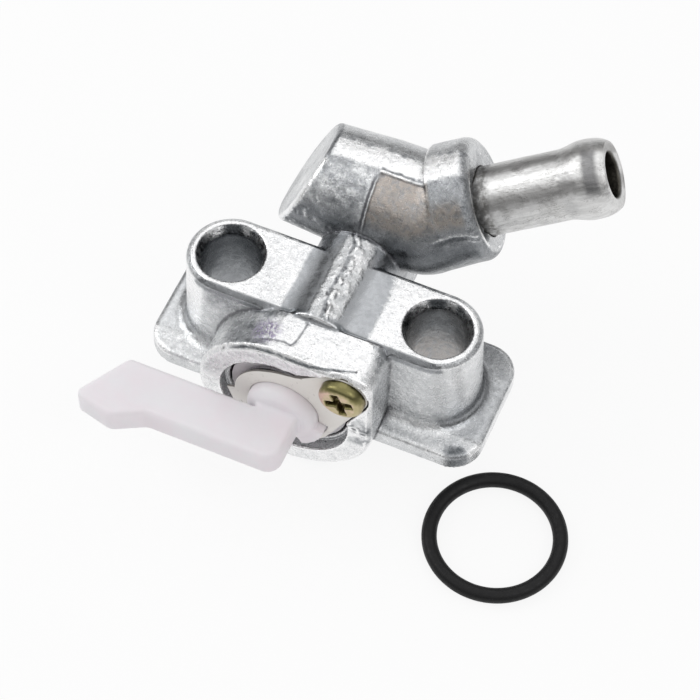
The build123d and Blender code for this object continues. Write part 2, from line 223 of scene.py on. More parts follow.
class FinishGraph(Graph):
    """A material's node tree, which holds a Principled BSDF and an output."""

    def __init__(self, name: str) -> None:
        """Starts a material of a name."""
        self.material = bpy.data.materials.new(name)
        self.material.use_nodes = True
        super().__init__(self.material.node_tree)
        self.shader = self.tree.nodes["Principled BSDF"]
        self.output = self.tree.nodes["Material Output"]
        self.mm = self.scaled(self.add("TexCoord").outputs["Object"], 1 / MM)

    def attribute(self, name: str) -> NodeSocket:
        """Returns a number stored on the mesh."""
        return self.add("Attribute", attribute_name=name).outputs["Fac"]

    def facing(self) -> tuple[NodeSocket, ...]:
        """Returns the X, Y and Z of the surface's own direction, in the object's frame."""
        return self.parts(self.add("TexCoord").outputs["Normal"])

    def varied(self, scale: float, detail: float, low: float, high: float) -> NodeSocket:
        """Returns a number that drifts over the surface between two values."""
        return self.band(self.noise(self.mm, scale, detail), 0.3, 0.7, low, high)

    def with_corner_shade_and_grime(self, colour: object, dirt_and_shade: Colour, reach: float, share: object,
                shut: float = 0.2) -> NodeSocket:
        """Returns a colour with painted shade and grime in its corners, which ambient occlusion
        finds.

        Args:
            colour: the colour without the corner darkening.
            dirt_and_shade: the colour of the grime and the painted shade.
            reach: how far round itself the surface looks for others, in metres.
            share: how much of that colour a shut corner takes.
            shut: how open a corner may be and still count as shut, from 0 to 1.

        Returns:
            The colour.
        """
        corner = self.add("AmbientOcclusion", {"Distance": reach}, samples=8).outputs["AO"]
        corner = self.band(corner, shut, shut + 0.6, 1.0, 0.0)
        return self.mix(self.product(corner, share), colour, dirt_and_shade)

    def bump(self, *layers: tuple[NodeSocket, float]) -> None:
        """Puts bump layers on the shader.

        Args:
            layers: pairs of a height and the depth in metres that a height of 1 stands for.
        """
        below = {}
        for height, depth in layers:
            node = self.add("Bump", {"Strength": 1.0, "Distance": depth, "Height": height, **below})
            below = {"Normal": node.outputs[0]}
        self.fill(self.shader, below)

    def surface(self, colour: object, rough: object, metallic: float = 0.0) -> None:
        """Sets the shader's colour, roughness and metallic."""
        self.fill(self.shader, {"Base Color": colour, "Roughness": rough, "Metallic": metallic})


@dataclass(frozen=True)
class DieCast:
    """Die-cast alloy, whose brightness, painted light and shade, and stains follow what the
    casting's mesh stores.
    """

    name: str = "die_cast_alloy"
    dark: Colour = (0.13, 0.14, 0.15)
    skin: Colour = (0.36, 0.37, 0.385)
    pale: Colour = (0.66, 0.67, 0.68)
    bright: Colour = (0.95, 0.95, 0.955)
    # Grime in specks, and the painted shade of the seam, of creases and of corners.
    grime_and_shade: Colour = (0.07, 0.07, 0.08)
    stain: Colour = (0.46, 0.40, 0.35)
    violet: Colour = (0.30, 0.26, 0.38)
    quiet_grain: float = 0.10
    cloud_swing: float = 0.30
    mottle_swing: float = 0.75
    grain_swing: float = 0.80
    edge_gain: float = 0.45
    rough: Pair = (0.20, 0.36)
    grain_depth: float = 0.07
    mottle_depth: float = 0.22
    # The seam's two lines of painted shade and its line of painted highlight: middle and half width
    # across X.
    seam_shade: tuple[Pair, ...] = ((-0.30, 0.30), (0.26, 0.20))
    seam_highlight: Pair = (0.0, 0.12)

    def toned(self, g: FinishGraph, tone: NodeSocket) -> NodeSocket:
        """Returns the alloy's colour at a tone.

        Args:
            g: the material's graph.
            tone: 0 where it is dark, about 0.5 on plain skin and 1 where it is scuffed bright; it
                also carries painted highlights and painted shade.

        Returns:
            The colour socket.
        """
        colour = g.mix(g.band(tone, 0.08, 0.45), self.dark, self.skin)
        colour = g.mix(g.band(tone, 0.42, 0.74), colour, self.pale)
        return g.mix(g.band(tone, 0.72, 1.0), colour, self.bright)

    def scuffed(self, g: FinishGraph, colour: NodeSocket,
                mottle: NodeSocket) -> NodeSocket:
        """Returns a colour with flecks, scratches and specks where the mesh is scuffed.

        Args:
            g: the material's graph.
            colour: the colour without them.
            mottle: the noise that breaks up the scratches.

        Returns:
            The colour.
        """
        share = g.attribute("scuff")
        scratch = g.noise(g.mapped(g.mm, (0, 0, 0.42), (0.45, 2.8, 1.0)), 0.8, 6.0, 0.72, 0.9)
        scratch = g.product(share, g.near(scratch, 0.5, 0.026), g.band(mottle, 0.40, 0.55), 0.75)
        speckle = g.noise(g.mm, 2.6, 6.0, 0.85)
        colour = g.mix(g.product(share, g.band(speckle, 0.50, 0.42), 0.45), colour, self.pale)
        colour = g.mix(scratch, colour, self.skin)
        return g.mix(g.product(share, g.band(speckle, 0.40, 0.33)), colour, self.grime_and_shade)

    def seamed(self, g: FinishGraph, colour: NodeSocket,
               mottle: NodeSocket) -> NodeSocket:
        """Returns a colour with the die's seam: two lines of painted shade beside a line of painted
        highlight.

        Args:
            g: the material's graph.
            colour: the colour without it.
            mottle: the noise that bends its lines.

        Returns:
            The colour.
        """
        across = g.total(g.parts(g.mm)[0], g.swing(mottle, 0.5))
        lines = [(*line, self.grime_and_shade) for line in self.seam_shade] + [(*self.seam_highlight, self.pale)]
        for middle, half, tint in lines:
            line = g.product(g.near(across, middle, half, 0.4 * half), g.attribute("seam"))
            colour = g.mix(g.product(line, 0.85), colour, tint)
        return colour

    def build(self) -> Material:
        """Builds the material."""
        g = FinishGraph(self.name)
        cloud = g.noise(g.mm, 0.22, 4.0, 0.6)
        mottle = g.noise(g.mm, 0.95, 5.0, 0.68, 0.4)
        grain = g.noise(g.mm, 3.4, 5.0, 0.75)
        loud = g.band(g.attribute("calm"), 0.0, 1.0, 1.0, self.quiet_grain)
        tone = g.total(g.attribute("tone"), g.swing(cloud, self.cloud_swing),
                       g.swing(mottle, loud, self.mottle_swing),
                       g.swing(grain, loud, self.grain_swing),
                       g.product(g.band(g.attribute("edge"), 0.10, 0.5), self.edge_gain))
        colour = self.seamed(g, self.scuffed(g, self.toned(g, tone), mottle), mottle)
        warm = g.product(g.attribute("warm"), g.band(mottle, 0.34, 0.58, 0.25, 1.0), 0.8)
        colour = g.mix(warm, colour, self.stain)
        purple = g.band(g.noise(g.mm, 1.9, 4.0, 0.75), 0.46, 0.54)
        colour = g.mix(g.product(g.attribute("violet"), purple), colour, self.violet)
        # Painted shade and grime in creases, where the mesh bends inwards, and in corners that
        # ambient occlusion finds.
        crease_shade_and_grime = g.product(g.attribute("crease_shade_and_grime"), 0.8)
        sunk = g.product(g.band(g.attribute("hollow"), 0.08, 0.5), crease_shade_and_grime)
        colour = g.mix(sunk, colour, self.grime_and_shade)
        colour = g.with_corner_shade_and_grime(colour, self.grime_and_shade, 3.0 * MM, crease_shade_and_grime)
        g.surface(colour, g.varied(1.3, 4.0, *self.rough), 1.0)
        g.bump((g.product(grain, loud), self.grain_depth * MM),
               (g.product(mottle, loud), self.mottle_depth * MM))
        return g.material


@dataclass(frozen=True)
class TurnedSteel:
    """Bright steel tube, drawn and turned along the hose tail's own axis, with fine scratches,
    painted reflection bands and painted shade in its bore and corners.
    """

    name: str = "turned_steel"
    bend: Vec = BEND
    azimuth: float = TAIL_AZIMUTH
    rise: float = TAIL_RISE
    seat_end: float = 11.2
    bore: float = 3.9
    # Where a dark painted reflection lies on the bead's front, along the axis and across the side.
    nose: float = 28.1
    nose_half: Pair = (1.5, 0.6)
    nose_above: Pair = (4.6, 3.2)
    nose_below: Pair = (-3.4, -1.8)
    colour: Colour = (0.80, 0.80, 0.795)
    shade: Colour = (0.36, 0.355, 0.35)
    # The colour of the dark painted reflection by the nose.
    dark: Colour = (0.14, 0.14, 0.145)
    # Grime in scratches and at the foot, and painted shade in the bore and corners.
    dirt_and_shade: Colour = (0.06, 0.055, 0.045)
    across: Pair = (0.814, 0.580)
    # Bands of painted reflection along the tube's side: middle, half width and share.
    reflection_bands: tuple[Vec, ...] = ((4.1, 1.3, 0.85), (-0.9, 1.7, 0.75))
    rough: Pair = (0.33, 0.46)

    def build(self) -> Material:
        """Builds the material."""
        g = FinishGraph(self.name)
        own = g.mapped(g.mm, shift=tuple(-v for v in self.bend))
        own = g.mapped(own, (0, 0, -math.radians(self.azimuth)))
        own = g.mapped(own, (0, math.radians(self.rise), 0))
        along, beside, above = g.parts(own)
        off = g.maths("SQRT", g.total(g.product(beside, beside), g.product(above, above)))
        streak = g.noise(g.mapped(own, scale=(0.07, 1.0, 1.0)), 1.5, 5.0, 0.7)
        rings = g.noise(g.mapped(own, scale=(7.0, 0.12, 0.12)), 1.0, 3.0, 0.6)
        haze = g.noise(g.mm, 0.45, 5.0, 0.6)
        scratch = g.noise(g.mapped(own, (0.3, 0.0, 0.25), (0.22, 1.7, 1.7)), 0.9, 5.0, 0.7, 0.8)
        scratch = g.product(g.near(scratch, 0.5, 0.014), g.band(haze, 0.4, 0.55), 0.8)
        colour = g.mix(g.product(g.band(streak, 0.62, 0.42), 0.28), self.colour, self.shade)
        colour = g.mix(g.product(g.band(haze, 0.5, 0.7), 0.3), colour, self.shade)
        # Painted reflection: darker bands along the tube's side, placed across it in the object's
        # own frame.
        across = g.total(g.product(beside, self.across[0]), g.product(above, self.across[1]),
                         g.swing(haze, 2.0))
        for middle, half, share in self.reflection_bands:
            share = g.product(g.near(across, middle, half, 0.2 * half), share)
            colour = g.mix(share, colour, self.shade)
        colour = g.mix(scratch, colour, self.dirt_and_shade)
        blotch = g.band(g.noise(g.mm, 1.6, 4.0), 0.3, 0.6)
        seat = g.product(g.band(along, self.seat_end + 1.2, self.seat_end), blotch)
        colour = g.mix(g.product(seat, 0.60), colour, self.dirt_and_shade)
        colour = g.with_corner_shade_and_grime(colour, self.dirt_and_shade, 2.0 * MM, 0.7, 0.15)
        # A dark painted reflection on the bead's front, near the nose.
        nose = g.product(g.near(along, self.nose, *self.nose_half),
                         g.band(across, *self.nose_above), g.band(across, *self.nose_below),
                         g.band(streak, 0.3, 0.5, 0.7, 1.0))
        colour = g.mix(g.product(nose, 0.75), colour, self.dark)
        # Painted shade inside the bore.
        colour = g.mix(g.product(g.band(off, self.bore, self.bore - 0.4), 0.97), colour, self.dirt_and_shade)
        g.surface(colour, g.band(streak, 0.3, 0.7, *self.rough), 1.0)
        g.bump((rings, 0.02 * MM), (streak, 0.05 * MM), (haze, 0.16 * MM))
        return g.material


@dataclass(frozen=True)
class Nylon:
    """Off-white moulded nylon, slightly clear at its edges."""

    name: str = "white_nylon"
    colour: Colour = (0.88, 0.86, 0.89)
    blush: Colour = (0.89, 0.83, 0.87)

    def build(self) -> Material:
        """Builds the material."""
        g = FinishGraph(self.name)
        haze = g.noise(g.mm, 0.12, 3.0)
        colour = g.mix(g.band(haze, 0.35, 0.65), self.colour, self.blush)
        g.surface(colour, g.varied(1.8, 3.0, 0.42, 0.55))
        g.fill(g.shader, {"Subsurface Weight": 0.35, "Subsurface Radius": (1.0, 0.9, 0.95),
                          "Subsurface Scale": 2.0 * MM})
        g.bump((g.noise(g.mm, 5.0, 3.0), 0.012 * MM), (g.noise(g.mm, 0.4, 3.0), 0.10 * MM))
        return g.material


@dataclass(frozen=True)
class CreamPlate:
    """Cream-white plate with small marks, and painted shade on its cut edges and in its corners."""

    name: str = "cream_plate"
    colour: Colour = (0.86, 0.83, 0.79)
    grime_and_shade: Colour = (0.20, 0.18, 0.165)

    def build(self) -> Material:
        """Builds the material."""
        g = FinishGraph(self.name)
        marks = g.band(g.noise(g.mm, 1.1, 5.0, 0.7), 0.60, 0.72)
        colour = g.mix(g.product(marks, 0.5), self.colour, self.grime_and_shade)
        colour = g.with_corner_shade_and_grime(colour, self.grime_and_shade, 1.2 * MM, 0.3)
        # Painted shade on the plate's cut edges, which face sideways.
        cut_edge_shade = g.near(g.facing()[1], 0.0, 0.6, 0.3)
        colour = g.mix(g.product(cut_edge_shade, 0.85), colour, self.grime_and_shade)
        g.surface(colour, g.varied(2.0, 3.0, 0.30, 0.45))
        g.bump((g.noise(g.mm, 4.0, 4.0), 0.02 * MM))
        return g.material


@dataclass(frozen=True)
class YellowZinc:
    """Yellow passivated zinc plate, its pink and olive tints placed by facing as painted
    reflection, with painted shade in its recess and corners.
    """

    name: str = "yellow_zinc"
    gold: Colour = (0.50, 0.43, 0.25)
    olive_top_reflection: Colour = (0.22, 0.20, 0.09)
    pink: Colour = (0.72, 0.52, 0.43)
    recess: Colour = (0.05, 0.035, 0.02)
    grime_and_shade: Colour = (0.04, 0.03, 0.015)

    def build(self) -> Material:
        """Builds the material."""
        g = FinishGraph(self.name)
        cloud = g.swing(g.noise(g.mm, 0.9, 3.0), 0.8)
        # The tints follow the way each face turns, as painted reflection: pink on faces turned
        # left, olive on faces turned up.
        aside, _, above = g.facing()
        colour = g.mix(g.band(g.total(aside, cloud), -0.35, 0.15), self.pink, self.gold)
        colour = g.mix(g.band(g.total(above, cloud), 0.05, 0.55), colour, self.olive_top_reflection)
        # Painted shade in the cross recess.
        colour = g.mix(g.product(g.attribute("cross"), 0.9), colour, self.recess)
        colour = g.with_corner_shade_and_grime(colour, self.grime_and_shade, 1.0 * MM, 0.85, 0.15)
        g.surface(colour, g.varied(2.5, 4.0, 0.28, 0.42), 1.0)
        g.bump((g.noise(g.mm, 3.5, 4.0), 0.02 * MM))
        return g.material


@dataclass(frozen=True)
class Rubber:
    """Black rubber with a faint bloom."""

    name: str = "black_rubber"
    colour: Colour = (0.004, 0.004, 0.0045)
    bloom: Colour = (0.02, 0.02, 0.022)
    rough: float = 0.5
    rough_swing: float = 0.08

    def build(self) -> Material:
        """Builds the material."""
        g = FinishGraph(self.name)
        dust = g.band(g.noise(g.mm, 2.2, 5.0, 0.7), 0.60, 0.75)
        colour = g.mix(g.product(dust, 0.6), self.colour, self.bloom)
        low, high = self.rough - self.rough_swing, self.rough + self.rough_swing
        g.surface(colour, g.varied(1.2, 3.0, low, high))
        g.fill(g.shader, {"Specular IOR Level": 0.3})
        g.bump((g.noise(g.mm, 6.0, 3.0), 0.01 * MM))
        return g.material


@dataclass(frozen=True)
class SpringSteel:
    """Plain rolled spring steel."""

    name: str = "spring_steel"
    colour: Colour = (0.46, 0.46, 0.47)
    shade: Colour = (0.28, 0.28, 0.29)

    def build(self) -> Material:
        """Builds the material."""
        g = FinishGraph(self.name)
        rolled = g.noise(g.mapped(g.mm, (0, 0, 0), (0.3, 1.0, 4.0)), 1.5, 4.0)
        g.surface(g.mix(g.band(rolled, 0.35, 0.65), self.shade, self.colour),
                  g.band(rolled, 0.3, 0.7, 0.22, 0.36), 1.0)
        g.bump((rolled, 0.01 * MM))
        return g.material


def value_noise(points: Array, size: float, seed: float) -> Array:
    """Returns smooth noise from -1 to 1 at many points.

    Args:
        points: one row for each point, in millimetres.
        size: the size of a feature, in millimetres.
        seed: a number that picks another pattern.

    Returns:
        One number for each point.
    """
    place = points / size + seed
    cell = np.floor(place)
    part = place - cell
    part = part * part * (3 - 2 * part)
    total = np.zeros(len(points))
    for corner in np.ndindex(2, 2, 2):
        key = cell + corner
        raw = np.sin(key @ np.array((127.1, 311.7, 74.7)) + seed) * 43758.5453
        weight = np.prod(np.where(corner, part, 1 - part), axis=1)
        total += (raw - np.floor(raw)) * weight
    return 2 * total - 1


def layered_noise(points: Array, size: float, seed: float, layers: int = 3) -> Array:
    """Returns several octaves of noise added up, about -1 to 1."""
    total = np.zeros(len(points))
    for k in range(layers):
        total += value_noise(points, size / 2**k, seed + 17.3 * k) / 2**k
    return total / (2 - 2 ** (1 - layers))


def step(values: Array, low: float, high: float) -> Array:
    """Returns a smooth step from 0 at low to 1 at high, which may be the lower of the two."""
    t = np.clip((values - low) / (high - low), 0, 1)
    return t * t * (3 - 2 * t)


def near(values: Array, reach: float, full: float) -> Array:
    """Returns how near values are to 0: 0 beyond a reach, and 1 within the part that is full."""
    return step(np.abs(values), reach, full)


def off_line(values: Array, along: Array, line: Line) -> Array:
    """Returns how far values lie above a broken line, whose corners are places and values."""
    return values - np.interp(along, *zip(*line))


def line_distance(points: Array, line: Line) -> Array:
    """Returns how far flat points lie from a broken line.

    Args:
        points: one row of two numbers for each point.
        line: the line's corners.

    Returns:
        One distance for each point.
    """
    nearest = np.full(len(points), np.inf)
    for start, end in zip(np.array(line), np.array(line)[1:]):
        run = end - start
        share = np.clip((points - start) @ run / (run @ run), 0, 1)
        nearest = np.minimum(nearest, np.linalg.norm(points - start - share[:, None] * run, axis=1))
    return nearest


def new_object(name: str, mesh: Mesh) -> Object:
    """Links a new object with its mesh to the scene."""
    piece = bpy.data.objects.new(name, mesh)
    bpy.context.scene.collection.objects.link(piece)
    return piece


def mesh_from(form: bmesh.types.BMesh, name: str) -> Mesh:
    """Turns a bmesh into a mesh, and frees it."""
    mesh = bpy.data.meshes.new(name)
    form.to_mesh(mesh)
    form.free()
    return mesh


def merged_copy(node: str) -> bmesh.types.BMesh:
    """Returns a bmesh copy of a CAD node with its doubled vertices merged."""
    form = bmesh.new()
    form.from_mesh(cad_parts[node].data)
    bmesh.ops.remove_doubles(form, verts=form.verts, dist=0.002 * MM)
    return form


def baked(piece: Object) -> None:
    """Applies a piece's modifiers to its mesh."""
    evaluated = piece.evaluated_get(bpy.context.evaluated_depsgraph_get())
    mesh = bpy.data.meshes.new_from_object(evaluated)
    piece.modifiers.clear()
    piece.data = mesh


def voxelled(piece: Object, voxel: float) -> None:
    """Remeshes a closed piece evenly and eases its edges.

    Args:
        piece: the piece, whose mesh is replaced.
        voxel: the size of a voxel, in metres.
    """
    remesh = piece.modifiers.new("remesh", "REMESH")
    remesh.mode = "VOXEL"
    remesh.voxel_size = voxel
    baked(piece)
    smooth = piece.modifiers.new("smooth", "SMOOTH")
    smooth.iterations = 2
    smooth.factor = 0.5
    baked(piece)
    log.info("%s: %d faces after the remesh", piece.name, len(piece.data.polygons))


def thinned(piece: Object, most: int) -> None:
    """Thins a piece to a number of triangles, flat stretches first."""
    triangles = sum(len(p.vertices) - 2 for p in piece.data.polygons)
    if triangles > most:
        thin = piece.modifiers.new("thin", "DECIMATE")
        thin.ratio = most / triangles
        baked(piece)


def positions(mesh: Mesh) -> Array:
    """Returns a mesh's vertices, one row each."""
    flat = np.empty(3 * len(mesh.vertices))
    mesh.vertices.foreach_get("co", flat)
    return flat.reshape(-1, 3)


def directions(mesh: Mesh) -> Array:
    """Returns a mesh's vertex normals, one row each."""
    flat = np.empty(3 * len(mesh.vertices))
    mesh.vertex_normals.foreach_get("vector", flat)
    return flat.reshape(-1, 3)


def put_positions(mesh: Mesh, place: Array) -> None:
    """Moves a mesh's vertices to new places, one row each."""
    mesh.vertices.foreach_set("co", place.ravel())
    mesh.update()


def raise_surface(mesh: Mesh, heights: Array) -> None:
    """Moves each vertex along its normal.

    Args:
        mesh: the mesh.
        heights: how far, in millimetres.
    """
    put_positions(mesh, positions(mesh) + directions(mesh) * (heights * MM)[:, None])


def kept_above(mesh: Mesh, height: float) -> None:
    """Lifts the vertices that have sunk below a height, in metres, back to it."""
    place = positions(mesh)
    place[:, 2] = np.maximum(place[:, 2], height)
    put_positions(mesh, place)


def store(mesh: Mesh, name: str, numbers: Array) -> None:
    """Stores a number from 0 to 1 for each vertex, for a material to read."""
    layer = mesh.attributes.new(name, "FLOAT", "POINT")
    layer.data.foreach_set("value", np.clip(numbers, 0, 1).astype(np.float32))


def store_bends(mesh: Mesh, rounds: int = 2) -> None:
    """Stores how sharply each vertex bends outwards, as "edge", and inwards, as "hollow".

    Args:
        mesh: the mesh.
        rounds: how often the numbers are evened out with the neighbours'.
    """
    place = positions(mesh) / MM
    facing = directions(mesh)
    ends = np.empty(2 * len(mesh.edges), dtype=np.int64)
    mesh.edges.foreach_get("vertices", ends)
    ends = ends.reshape(-1, 2)
    a = np.concatenate((ends[:, 0], ends[:, 1]))
    b = np.concatenate((ends[:, 1], ends[:, 0]))
    away = place[b] - place[a]
    bend = -np.einsum("ij,ij->i", facing[a], away) / np.maximum((away**2).sum(1), 1e-6)
    count = np.maximum(np.bincount(a, minlength=len(place)), 1)
    value = np.bincount(a, bend, len(place)) / count
    for _ in range(rounds):
        value = 0.5 * value + 0.5 * np.bincount(a, value[b], len(place)) / count
    store(mesh, "edge", value)
    store(mesh, "hollow", -value)


def shade_smooth(mesh: Mesh) -> None:
    """Shades every face of a mesh smooth."""
    mesh.polygons.foreach_set("use_smooth", [True] * len(mesh.polygons))
    mesh.update()


def smooth_by_angle(mesh: Mesh, angle: float) -> None:
    """Shades a mesh smooth, with sharp edges where faces turn by more than some degrees.

    Args:
        mesh: the mesh.
        angle: the degrees.
    """
    form = bmesh.new()
    form.from_mesh(mesh)
    for face in form.faces:
        face.smooth = True
    for edge in form.edges:
        edge.smooth = len(edge.link_faces) == 2 and edge.calc_face_angle() < math.radians(angle)
    form.to_mesh(mesh)
    form.free()


def dress(piece: Object, material: Material, body: Body,
          stands_for: str) -> None:
    """Gives a finished piece its material and body, and hides the CAD node that it stands for.

    Args:
        piece: the piece.
        material: its material.
        body: the body it rides on.
        stands_for: the CAD node that it replaces.
    """
    piece.data.materials.clear()
    piece.data.materials.append(material)
    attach(piece, body.value)
    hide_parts(stands_for)
    log.info("%s: %d faces on %s", piece.name, len(piece.data.polygons), body.value)


class Skin:
    """The casting's vertices, in millimetres, and the tone and calm that are painted on them."""

    def __init__(self, mesh: Mesh) -> None:
        """Reads the vertices, and starts with one tone and one calm everywhere.

        Args:
            mesh: the finished mesh.
        """
        self.place = positions(mesh) / MM
        self.facing = directions(mesh)
        self.drift = layered_noise(self.place, 4.0, 41.0)
        self.fine = layered_noise(self.place, 1.1, 51.0)
        self.tone = np.full(len(self.place), 0.55)
        self.calm = np.full(len(self.place), 0.3)

    def paint(self, share: Array, tone: object, calm: float) -> None:
        """Moves the tone and the calm towards a value each, by a share.

        Args:
            share: one number for each vertex, taken as 0 to 1.
            tone: the tone, one number or one for each vertex.
            calm: the calm.
        """
        share = np.clip(share, 0, 1)
        self.tone = self.tone + share * (tone - self.tone)
        self.calm = self.calm + share * (calm - self.calm)


@dataclass
class TapCasting:
    """The die-cast body, with the flash, steps and stains that a die leaves. Millimetres."""

    voxel: float = 0.2
    triangles: int = 190000
    wave: float = 0.05
    flange: Pair = (3.0, 3.6)
    ear_x: float = 17.0
    ear_half: Pair = (9.6, 9.0)
    entry: float = 5.45
    ear_top: float = 19.3
    deck: Pair = (18.8, 19.1)
    bend: Vec = BEND
    tail_run: Vec = (0.8533, 0.3140, 0.4163)
    rib_x: float = 0.4
    rib_half: float = 6.4
    rib_spread: float = 1.4
    ring: float = 7.25
    valve: Pair = VALVE
    chamber_back: Pair = (-6.6, -7.0)
    chamber_face: Pair = (-13.3, -13.8)
    folds: Vec = (10.0, 6.2, 4.4)
    collar: float = 3.6
    seat_floor: float = 9.0
    seat_level: float = 9.6
    seat_face: float = 9.95
    seam_x: float = 0.0
    parting: float = 10.5
    crinkle: float = 2.2
    pad_line: Line = (
        (-1.0, -7.4), (-1.2, -9.9), (-1.4, -11.1), (-1.8, -11.8), (-3.0, -11.6), (-4.7, -11.9),
        (-9.3, -12.6), (-12.5, -12.7),
    )
    hem_line: Line = ((-12.0, -13.85), (2.0, -13.9), (4.8, -13.5), (7.1, -12.9), (9.0, -12.2))
    low_ridge: Line = ((1.4, 76.7), (4.0, 72.9), (6.0, 71.4), (8.2, 73.3), (9.5, 80.5))
    crown_line: Line = (
        (-6.0, 1.4), (-4.1, 1.2), (-2.0, 0.7), (0.3, 0.7), (3.5, 1.2), (6.2, 0.8), (8.4, 0.5),
        (9.8, -0.3),
    )
    curls: tuple[Vec, ...] = ((8.2, 7.9, 0.8), (9.6, 6.7, 0.7), (11.1, 6.1, 0.8))

    def tail_axis(self, place: Array) -> tuple[Array, Array]:
        """Returns how far points lie along the hose tail's axis, and off it."""
        away = place - self.bend
        run = np.array(self.tail_run)
        along = away @ run
        return along, np.linalg.norm(away - along[:, None] * run, axis=1)

    def around(self, place: Array) -> tuple[Array, Array]:
        """Returns where points lie on the outlet block.

        Args:
            place: one row for each point.

        Returns:
            The angle in degrees from the block's top line, positive to the front, and the distance
            along the hose tail from the bend.
        """
        x, y, z = place.T
        beyond = np.maximum(x - self.bend[0], 0) / self.tail_run[0]
        forward = self.bend[1] + beyond * self.tail_run[1] - y
        up = z - self.bend[2] - beyond * self.tail_run[2]
        return np.degrees(np.arctan2(forward, up)), self.tail_axis(place)[0]

    def on_block(self, place: Array) -> Array:
        """Returns how far points belong to the outlet block, 0 to 1."""
        return step(place[:, 1], 9.3, 10.0) * step(place[:, 2], 9.0, 11.0)

    def recess(self, place: Array, angle: Array, along: Array) -> Array:
        """Returns the share of the shallow panel right of the seam, below the parting line."""
        share = step(place[:, 0], self.seam_x, self.seam_x + 0.4)
        share = share * step(angle, self.parting, self.parting + 2.5) * step(angle, 88.0, 60.0)
        return share * step(along, self.collar + 0.6, self.collar) * self.on_block(place)

    def crumpled(self, place: Array) -> Array:
        """Returns how far points lie in the folded skin at the mouth's lower right, 0 to 1."""
        off = np.hypot(place[:, 0] - self.folds[0], place[:, 2] - self.folds[1])
        return step(off, self.folds[2], 0.6 * self.folds[2])

    def raise_block(self, height: Array, place: Array) -> None:
        """Adds the outlet block's panel, parting line, low ridge and pocks to the heights.

        Args:
            height: the heights, which are changed.
            place: one row for each vertex.
        """
        x = place[:, 0]
        angle, along = self.around(place)
        block = self.on_block(place)
        height -= 0.20 * self.recess(place, angle, along)
        ledge = angle - self.parting - self.crinkle * layered_noise(place, 0.9, 81.0)
        right = block * step(x, self.seam_x - 0.2, self.seam_x + 0.2) * step(along, 1.5, 0.5)
        height += right * (0.05 * near(ledge, 1.8, 0.6) - 0.06 * near(ledge + 3.0, 2.0, 0.8))
        low = off_line(angle, along, self.low_ridge)
        ridge = block * step(along, 1.4, 2.6) * step(along, 9.9, 9.4)
        height += ridge * (0.05 * near(low, 2.4, 0.6) - 0.08 * near(low - 4.5, 3.0, 1.0))
        pocks = block * 0.05 * step(layered_noise(place, 0.9, 31.0), 0.15, 0.5)
        height -= pocks * step(x, self.seam_x, self.seam_x - 1.0) * step(angle, 8.0, 16.0)

    def raise_crown(self, height: Array, place: Array, nz: Array, wobble: Array) -> None:
        """Adds the broken flash along the rib's top to the heights.

        Args:
            height: the heights, which are changed.
            place: one row for each vertex.
            nz: how far each vertex faces up.
            wobble: a noise that bends the line.
        """
        x, y, z = place.T
        line = off_line(x, y, self.crown_line) - 0.35 * wobble
        crown = step(nz, 0.72, 0.9) * step(y, -6.4, -5.6) * step(y, 11.0, 10.0)
        crown = crown * step(z, 20.0, 20.4)
        worm = step(layered_noise(place, 1.0, 11.0), -0.25, 0.15)
        islands = step(layered_noise(place, 1.5, 21.0), 0.0, 0.3)
        height += crown * (0.26 * near(line, 0.45, 0.12) * worm
                           + 0.14 * near(line, 2.6, 1.6) * islands
                           - 0.12 * near(line + 0.8, 0.35, 0.1) * worm)

    def raise_front(self, height: Array, place: Array, facing: Array,
                    wobble: Array) -> None:
        """Adds the chamber's scribed line, hem, curls and folds to the heights.

        Args:
            height: the heights, which are changed.
            place: one row for each vertex.
            facing: each vertex's direction.
            wobble: a noise that breaks up the hem.
        """
        x, y, z = place.T
        roof = step(facing[:, 2], 0.9, 0.97) * step(y, -6.2, -7.0) * step(z, 18.2, 18.8)
        height -= 0.10 * roof * step(line_distance(place[:, :2], self.pad_line), 0.28, 0.10)
        hem = line_distance(place[:, :2], self.hem_line) * step(z, 9.0, 11.0)
        hem = hem + 9 * step(z, 11.0, 9.0)
        height -= 0.08 * step(hem - 0.10 * wobble, 0.26, 0.10) * step(wobble, -0.6, 0.2)
        pieces = step(layered_noise(place, 0.8, 71.0), -0.1, 0.3)
        height += 0.08 * near(hem - 0.45, 0.25, 0.08) * pieces
        front = step(y, -13.6, -13.9) * step(facing[:, 1], -0.7, -0.9)
        for across, up, reach in self.curls:
            ring = np.hypot(x - across, 1.6 * (z - up)) - reach
            height += 0.16 * front * near(ring, 0.34, 0.12)
        height += 0.22 * front * self.crumpled(place) * layered_noise(place, 1.5, 101.0)

    def heights(self, mesh: Mesh) -> Array:
        """Returns how far each vertex stands out of the plain form, in millimetres.

        Args:
            mesh: the body's fine mesh.

        Returns:
            One height for each vertex.
        """
        place = positions(mesh) / MM
        facing = directions(mesh)
        wobble = value_noise(place, 1.6, 9.0)
        height = self.wave * layered_noise(place, 3.2, 2.0) + 0.025 * layered_noise(place, 0.9, 7.0)
        self.raise_block(height, place)
        self.raise_crown(height, place, facing[:, 2], wobble)
        self.raise_front(height, place, facing, wobble)
        return height

    @staticmethod
    def flush(angle: Array) -> Array:
        """Returns where the hose tail's seat is level with the collar: above and below it."""
        return np.maximum(step(angle, 8.0, -12.0), step(angle, 98.0, 112.0))

    def fill_seat(self, mesh: Mesh) -> None:
        """Brings the floor of the groove round the hose tail up towards the collar's face.

        Args:
            mesh: the body's fine mesh.
        """
        place = positions(mesh) / MM
        along, radial = self.tail_axis(place)
        level = self.seat_level + 0.15 * layered_noise(place, 1.0, 91.0)
        level += (self.seat_face - level) * self.flush(self.around(place)[0])
        inside = step(radial, self.ring + 0.40, self.ring + 0.20)
        inside = inside * step(along, self.seat_floor - 0.5, self.seat_floor)
        lift = inside * np.maximum(level - along, 0)
        put_positions(mesh, (place + lift[:, None] * np.array(self.tail_run)) * MM)

